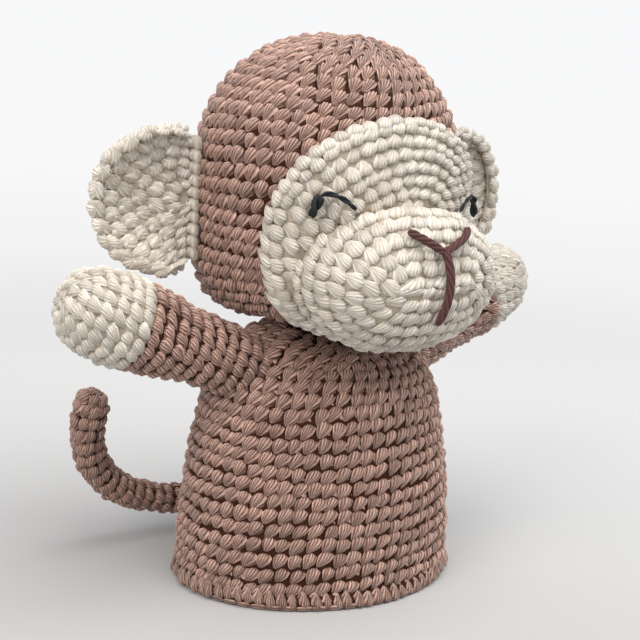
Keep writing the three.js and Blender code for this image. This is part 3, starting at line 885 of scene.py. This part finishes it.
eye_arch = ((44, -5), (40, 3), (33, 2), (27.5, -2))
eye_lift, nose_lift, mouth_lift = 0.0023, 0.0016, 0.0018
for name, side in (("right", -1), ("left", 1)):
    nearer, lower, bold = (0, 0, 0.00115) if side < 0 else (2.5, 2, 0.00085)
    arch = [on_face(side, aside - nearer, rise - lower, eye_lift) for aside, rise in eye_arch]
    eye = twisted(name + "_eye_thread", smooth_line(arch), bold, 2, 2, black, 0.34, 0.5)
    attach(eye, "head")
    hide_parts(name + "_eye")
    nose_stroke = ((-3 * side, 24), (13.2, 32.5), (24, 39.5))
    stroke = [on_muzzle(side, aside, rise, nose_lift) for aside, rise in nose_stroke]
    nose = twisted("nose_yarn_" + name, smooth_line(stroke), 0.00072, 4, 1.2, maroon)
    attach(nose, "head")
    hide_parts("nose_" + name)
mouth_line = [on_muzzle(-1, 3 - 9 * share + 11 * share ** 2, 26 - 51 * share, mouth_lift)
              for share in (k / 12 for k in range(13))]
mouth = twisted("mouth_yarn", mouth_line, 0.00076, 4, 1.6, maroon)
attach(mouth, "head")
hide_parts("mouth")


# Ears. Cups of cream crochet with a thick rolled rim, worked in rows from the rim to the middle of
# a straight edge. A column of stitches on each side sews that edge to the head, and the ear flops on it.
ear_inset, ear_reach, ear_half, ear_cup = 0.012, 0.028, 0.027, 0.011
ear_face, rim_half, rim_middle, rim_reach = 0.00126, 0.0032, 0.93, 0.085
ear_sweep, ear_start, ear_rows = 224, 0.9, 6.4
ear_pitch, rim_pitch, ear_sink, ear_bed = 0.0062, 0.0068, 0.0004, 0.001
sewn_half, sewn_back, sewn_count, sewn_wide, sewn_sink = 0.0235, 0.0008, 10, 0.0056, 0.0002
ear_turns = {"right": (-1, radians(107)), "left": (1, radians(102))}

for name, (side, angle) in ear_turns.items():
    hinge = pivots[name + "_ear_flop"]
    out = Vector((side * sin(angle), -cos(angle), 0))
    front = straight_up.cross(out) * -side

    def on_ear(share, turn, lift):
        """A place on the ear: rows share the middle of the sewn edge and run from its foot to its top."""
        round_at = radians(ear_sweep * (turn - 0.5))
        x = share * (ear_inset + ear_reach * cos(round_at))
        z = share * ear_half * sin(round_at)
        bowl = ((x - ear_inset) / ear_reach) ** 2 + (z / ear_half) ** 2
        hollow = ear_cup * bowl * smoothstep(x / ear_inset)
        return hinge + out * max(x, 0.0006) + straight_up * z + front * (hollow + lift)

    def ear_front(turn, rise):
        return on_ear(ear_start - rise / ear_rows, turn, ear_face)

    def ear_rear(turn, rise):
        return on_ear(ear_start - rise / ear_rows, 1 - turn, -ear_face)

    def ear_rim(turn, rise):
        swing = radians(-120 + 80 * rise)
        return on_ear(rim_middle + rim_reach * cos(swing), turn, rim_half * sin(swing))

    def behind_edge(place):
        return (place - hinge).dot(out) < 0.0005

    def sewn_edge(share):
        return hinge - out * sewn_back + straight_up * sewn_half * (2 * share - 1)

    ear = new_cloth()
    inward = side < 0
    bed = ear_bed * side
    for ear_side in (ear_front, ear_rear):
        work_lining(ear, ear_side, (0, 5.6), 48, 12, bed, 0.0, behind_edge)
        work_rounds(ear, single_stitches, ear_side, range(5), ear_pitch, ear_sink, behind_edge, inward,
                    False)
    work_lining(ear, ear_rim, (0, 3), 48, 8, bed, 0.0, behind_edge)
    work_rounds(ear, single_stitches, ear_rim, range(3), rim_pitch, ear_sink, behind_edge, inward, False)
    for facing_out in (front, -front):
        work_chain(ear, hand.choice(single_stitches), sewn_edge, lambda share: facing_out, sewn_count,
                   sewn_wide, sewn_sink)
    ear_piece = finish_off(ear, name + "_ear_cup", cream_yarns)
    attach(ear_piece, name + "_ear")
    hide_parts(name + "_ear")


# Arms. Brown sleeves worked in rounds and joined to the body round the arm hole, each closed
# by a stuffed cream hand. The sleeve stays in place, attached to no part.
arm_half, wrist_half, hand_half = 0.0155, 0.01875, 0.018
sleeve_length, arm_length, hand_swell = 0.0395, 0.0725, 0.015
shoulder_half, shoulder_cup, root_run = 0.014, 0.0165, 0.026
lining_depth, stitch_depth, neck_clear = 0.0055, 0.003, 0.0185
sleeve_line = [Vector((shoulder_half, -root_run)), Vector((arm_half, shoulder_cup)),
               Vector((wrist_half, sleeve_length))]
hand_curve = [(wrist_half, sleeve_length), (hand_half + 0.0021, sleeve_length + hand_swell),
              (hand_half, arm_length), (0.0002, arm_length)]
hand_line = [p.to_2d() for p in interpolate_bezier(*(Vector((*p, 0)) for p in hand_curve), 24)]
sleeve_at, sleeve_run = by_length(sleeve_line)
hand_at, hand_run = by_length(hand_line)
sleeve_rounds, hand_rounds = round(sleeve_run / round_height), round(hand_run / round_height)


def sunk_in_body(depth):
    """A test for places deeper than this in the body or in its neck, where a sleeve needs no yarn."""
    def hidden(place):
        near_neck = hypot(place.x - neck.x, place.y - neck.y) < neck_clear
        return near_neck or (place.z < 0.1 and depth_in_bell(place) > depth)

    return hidden


for name in arm_lifts:
    pivot, along = pivots[name + "_arm_raise"], arm_direction(name)
    aside = straight_up.cross(along).normalized()
    over = along.cross(aside)

    def limb(turn, line_at, share):
        radius, run = line_at(share)
        round_at = 2 * pi * turn
        return pivot + along * run + (aside * cos(round_at) + over * sin(round_at)) * radius

    def sleeve_surface(turn, rise):
        return limb(turn, sleeve_at, rise / sleeve_rounds)

    def hand_surface(turn, rise):
        return limb(turn, hand_at, rise / hand_rounds)

    arm = new_cloth()
    work_lining(arm, sleeve_surface, (0, sleeve_rounds), 48, 40, lining_sink, lining_thick,
                sunk_in_body(lining_depth))
    work_rounds(arm, single_stitches, sleeve_surface, range(sleeve_rounds), stitch_pitch, stitch_sink,
                sunk_in_body(stitch_depth))
    arm_piece = finish_off(arm, name + "_sleeve", brown_yarns)
    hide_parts(name + "_arm", name + "_shoulder_seam")
    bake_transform(arm_piece)

    palm = new_cloth()
    work_lining(palm, hand_surface, (0, hand_rounds), 40, 24, lining_sink, lining_thick)
    work_rounds(palm, single_stitches, hand_surface, range(hand_rounds), stitch_pitch, stitch_sink)
    hand_piece = finish_off(palm, name + "_palm", cream_yarns)
    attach(hand_piece, name + "_arm")
    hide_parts(name + "_hand", name + "_hand_stuffing")


# Tail. A thin tube of brown crochet with a round knob at its tip, worked in small rounds.
# Its rounded root is sewn to the middle of the back, just above the hem, and the tail swings on it.
tail_base = pivots["tail_swing"]
tail_half, knob_half = 0.006, 0.0076
root_fade, root_in = 0.02, 0.0014
tail_round_height, tail_pitch, tail_sink, tail_bed = 0.0052, 0.005, 0.0012, 0.002
tail_leave = Vector((-0.034, 0.013, -0.008))
tail_curve = [tail_leave.normalized() * -tail_half, tail_leave, Vector((-0.086, 0.008, 0.004)),
              Vector((-0.072, 0.002, 0.054))]
tail_at, tail_length = by_length(interpolate_bezier(*tail_curve, 60))
quarter = [radians(15 * k) for k in range(7)]
tail_profile = [Vector((tail_half * sin(a), tail_half * (1 - cos(a)))) for a in quarter]
tail_profile += [Vector((knob_half * cos(a), tail_length - knob_half * (1 - sin(a)))) for a in quarter]
profile_at, profile_length = by_length(tail_profile)
tail_rounds = round(profile_length / tail_round_height)


def tail_surface(turn, rise):
    radius, run = profile_at(min(1, max(0, rise / tail_rounds)))
    share = run / tail_length
    along = (tail_at(min(1, share + 0.01)) - tail_at(max(0, share - 0.01))).normalized()
    aside = along.cross(Vector((0, 1, 0))).normalized()
    over = along.cross(aside)
    round_at = 2 * pi * turn
    middle = tail_base + tail_at(share) - Vector((0, root_in * (1 - smoothstep(run / root_fade)), 0))
    return middle + (aside * cos(round_at) + over * sin(round_at)) * max(radius, 0.0005)


tail = new_cloth()
work_lining(tail, tail_surface, (0.01, tail_rounds - 0.01), 24, 80, tail_bed, 0.0)
work_rounds(tail, single_stitches, tail_surface, range(tail_rounds), tail_pitch, tail_sink)
tail_piece = finish_off(tail, "tail_tube", brown_yarns)
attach(tail_piece, "tail")
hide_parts("tail")
